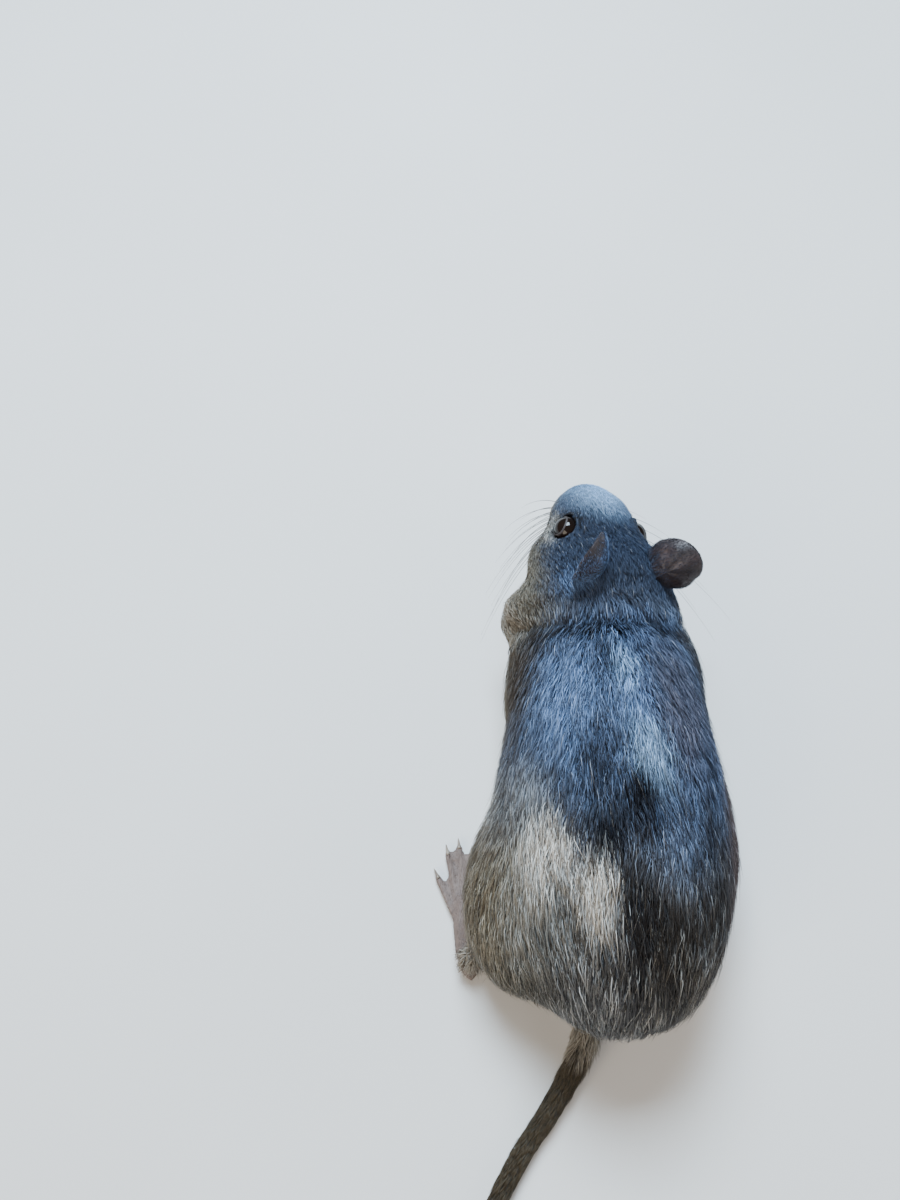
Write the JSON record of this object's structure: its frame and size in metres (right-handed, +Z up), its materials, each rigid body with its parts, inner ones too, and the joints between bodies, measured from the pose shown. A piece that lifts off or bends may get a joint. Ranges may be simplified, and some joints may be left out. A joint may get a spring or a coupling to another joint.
{
  "type": "degu",
  "caption": "Still life-size model of a degu on all fours, head low, slate-grey and cream coat, long tail with a dark tuft.",
  "frame": {"origin": "middle of the footprint's bounding box, on the floor", "axes": "+Y from nose to tail, +X to the animal's left, +Z up"},
  "size_m": [0.0804, 0.248, 0.0597],
  "materials": {
    "coat": "soft overlapping fur, slate grey with cream and brown streaks",
    "tail_coat": "short dense fur, olive brown, black at the tip",
    "ear_skin": "thin bare dark skin with fine down",
    "foot_skin": "bare grained skin with short pale hairs",
    "eye": "wet, near black",
    "claw": "pale horn",
    "nose": "moist bare skin",
    "whisker": "fine dark and pale bristles"
  },
  "bodies": {
    "root": {"head": "coat", "neck": "coat", "chest": "coat", "loin": "coat", "rump": "coat", "upper_arm_left": "coat", "upper_arm_right": "coat", "forearm_left": "coat", "forearm_right": "coat", "thigh_left": "coat", "thigh_right": "coat", "shank_left": "coat", "shank_right": "coat", "tail_base": "tail_coat", "tail_middle": "tail_coat", "tail_end": "tail_coat", "tail_tuft": "tail_coat", "ear_left": "ear_skin", "ear_right": "ear_skin", "hind_foot_left": "foot_skin", "hind_foot_right": "foot_skin", "fore_foot_left": "foot_skin", "fore_foot_right": "foot_skin", "eye_left": "eye", "eye_right": "eye"}
  },
  "joints": []
}
